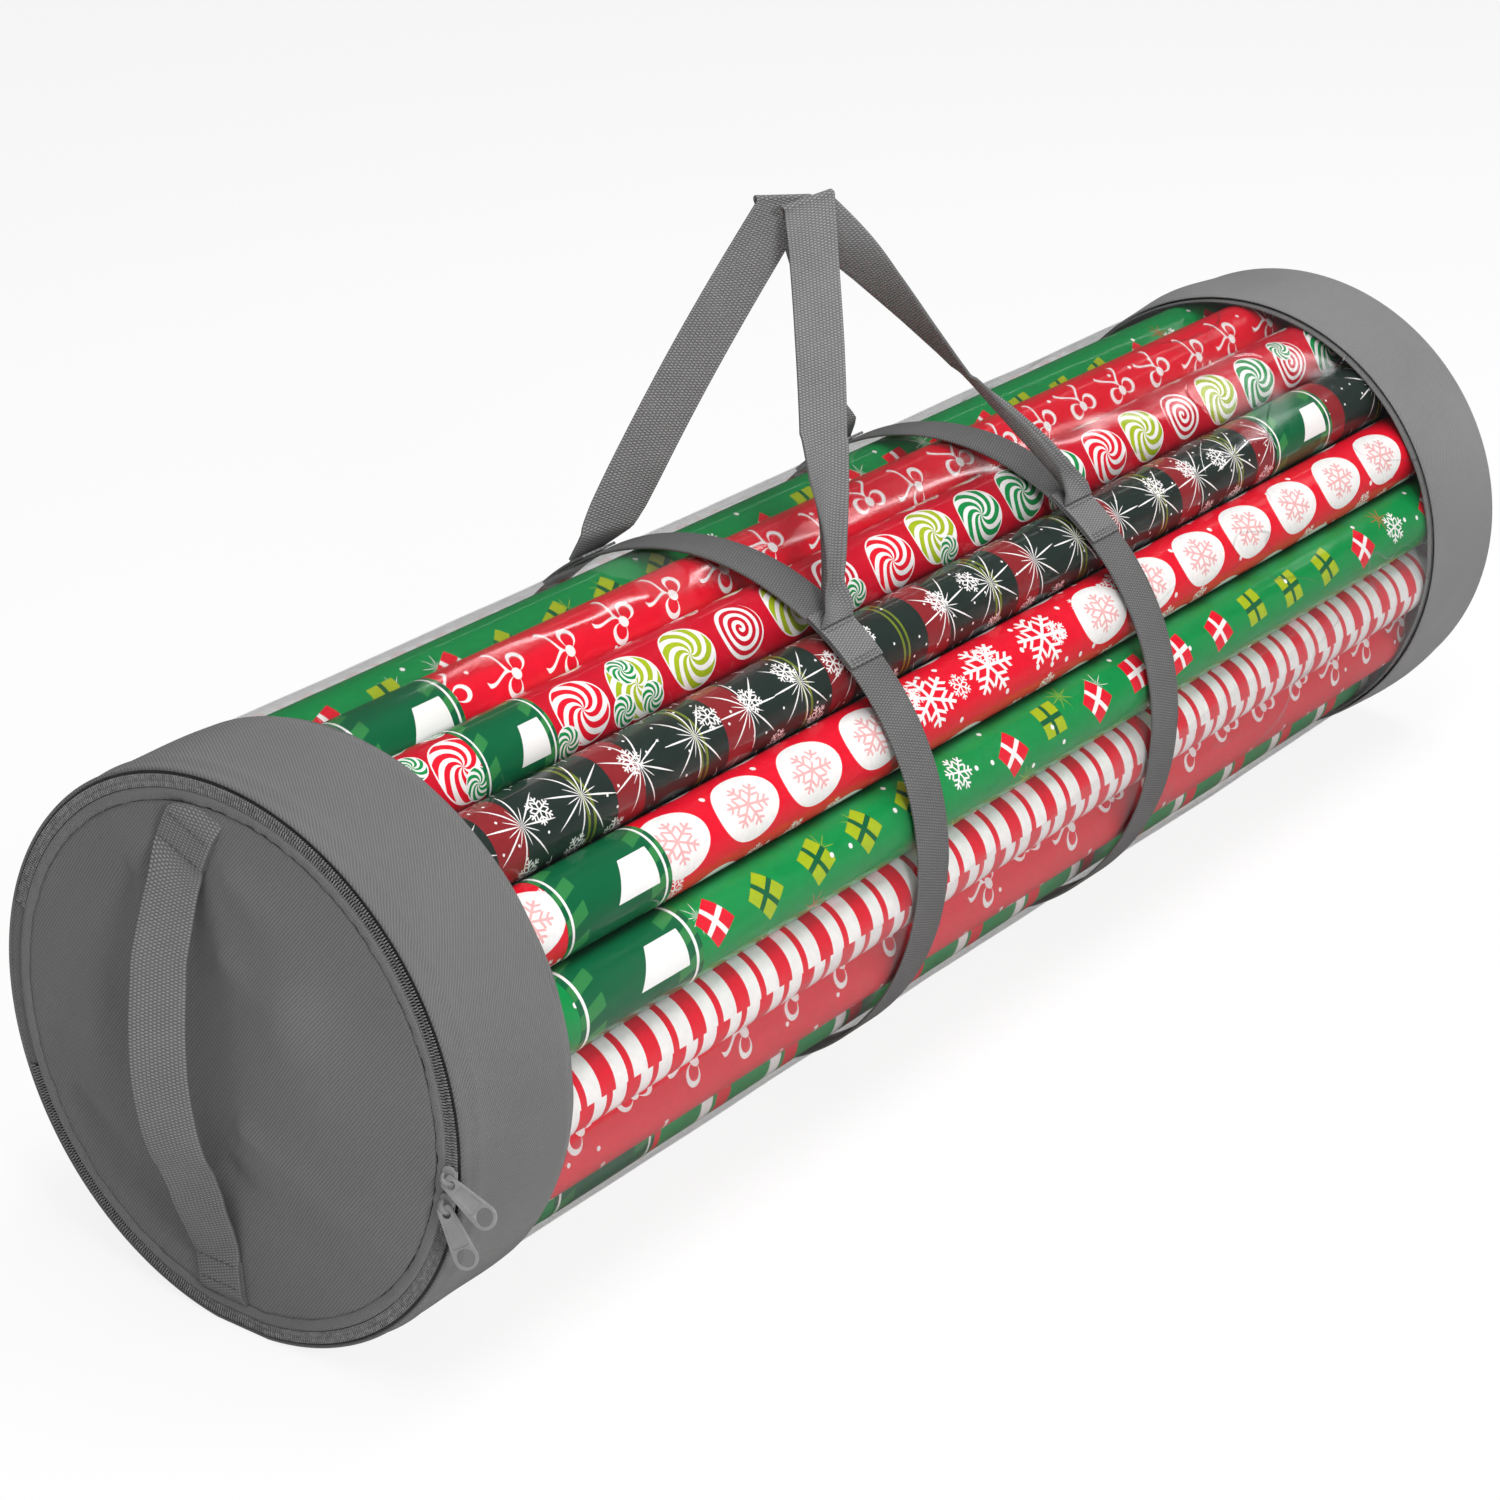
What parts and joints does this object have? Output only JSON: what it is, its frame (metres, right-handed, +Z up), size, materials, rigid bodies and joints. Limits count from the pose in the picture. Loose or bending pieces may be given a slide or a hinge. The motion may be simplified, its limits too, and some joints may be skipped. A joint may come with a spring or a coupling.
{
  "type": "gift wrap storage bag",
  "caption": "Round clear-sided gift wrap storage bag lying on its side, with a zipped end lid, girth straps, two carry handles and rolls of gift wrap inside.",
  "frame": {"origin": "middle of the base of the whole part's box, on the surface that the bag lies on", "axes": "+X along the bag from the lid to the closed rear end, +Z up; the zip's closed end is at -Y and the lid's hinge at +Y"},
  "size_m": [1.0846, 0.3224, 0.4685],
  "materials": {
    "band_cloth": "woven matt",
    "rear_cloth": "woven matt",
    "lid_cloth": "woven matt",
    "binding_cloth": "woven matt",
    "zip_tape": "woven matt",
    "zip_teeth": "moulded satin",
    "zip_metal": "painted satin",
    "clear_film": "clear gloss",
    "webbing": "coarse webbing",
    "red_paper": "printed gloss",
    "green_paper": "printed gloss",
    "white_paper": "printed gloss"
  },
  "bodies": {
    "root": {"front_band": "band_cloth", "hinge_gusset_band_side": "band_cloth", "rear_band": "rear_cloth", "rear_panel": "rear_cloth", "front_seam_binding": "binding_cloth", "rear_seam_binding": "binding_cloth", "rear_piping": "binding_cloth", "zip_tape_band_side": "zip_tape", "zip_teeth_band_side": "zip_teeth", "clear_tube": "clear_film", "girth_strap_front": "webbing", "girth_strap_rear": "webbing", "near_handle_tab_front": "webbing", "near_handle_tab_rear": "webbing", "far_handle_tab_front": "webbing", "far_handle_tab_rear": "webbing", "wrap_roll_01": "red_paper", "wrap_roll_02": "green_paper", "wrap_roll_03": "white_paper", "wrap_roll_04": "red_paper", "wrap_roll_05": "green_paper", "wrap_roll_06": "white_paper", "wrap_roll_07": "green_paper", "wrap_roll_08": "green_paper", "wrap_roll_09": "red_paper", "wrap_roll_10": "red_paper", "wrap_roll_11": "green_paper", "wrap_roll_12": "red_paper", "wrap_roll_13": "green_paper", "wrap_roll_14": "white_paper", "wrap_roll_15": "red_paper", "wrap_roll_16": "green_paper", "wrap_roll_17": "white_paper", "wrap_roll_18": "green_paper"},
    "lid": {"lid_panel": "lid_cloth", "lid_facing": "lid_cloth", "zip_tape_lid_side": "zip_tape", "zip_teeth_lid_side": "zip_teeth", "hinge_gusset_lid_side": "band_cloth", "lid_grab_handle": "webbing", "grab_handle_top_tab": "webbing", "grab_handle_bottom_tab": "webbing"},
    "upper_slider": {"upper_zip_slider": "zip_metal"},
    "lower_slider": {"lower_zip_slider": "zip_metal"},
    "upper_pull": {"upper_zip_pull": "zip_metal"},
    "lower_pull": {"lower_zip_pull": "zip_metal"},
    "near_handle": {"near_carry_handle": "webbing"},
    "far_handle": {"far_carry_handle": "webbing"}
  },
  "joints": [
    {"name": "lid_hinge", "type": "hinge", "parent": "root", "child": "lid", "pos_m": [-0.50236, 0.15317, 0.1494], "axis": [0, 0, -1], "range_deg": [0, 120]},
    {"name": "upper_slider_run", "type": "hinge", "parent": "lid", "child": "upper_slider", "pos_m": [-0.50366, 0.01077, 0.1494], "axis": [1, 0, 0], "range_deg": [-160, 0]},
    {"name": "lower_slider_run", "type": "hinge", "parent": "lid", "child": "lower_slider", "pos_m": [-0.50366, 0.01077, 0.1494], "axis": [1, 0, 0], "range_deg": [0, 145]},
    {"name": "upper_pull_swing", "type": "hinge", "parent": "upper_slider", "child": "upper_pull", "pos_m": [-0.50786, -0.13228, 0.13688], "axis": [0, 0.4384, -0.8988], "range_deg": [0, 150]},
    {"name": "lower_pull_swing", "type": "hinge", "parent": "lower_slider", "child": "lower_pull", "pos_m": [-0.50786, -0.13019, 0.122], "axis": [0, 0.866, -0.5], "range_deg": [0, 150]},
    {"name": "near_handle_swing", "type": "hinge", "parent": "root", "child": "near_handle", "pos_m": [-0.12236, -0.06593, 0.28225], "axis": [1, 0, 0], "range_deg": [0, 135]},
    {"name": "far_handle_swing", "type": "hinge", "parent": "root", "child": "far_handle", "pos_m": [-0.12236, 0.08747, 0.28225], "axis": [-1, 0, 0], "range_deg": [0, 125]}
  ]
}
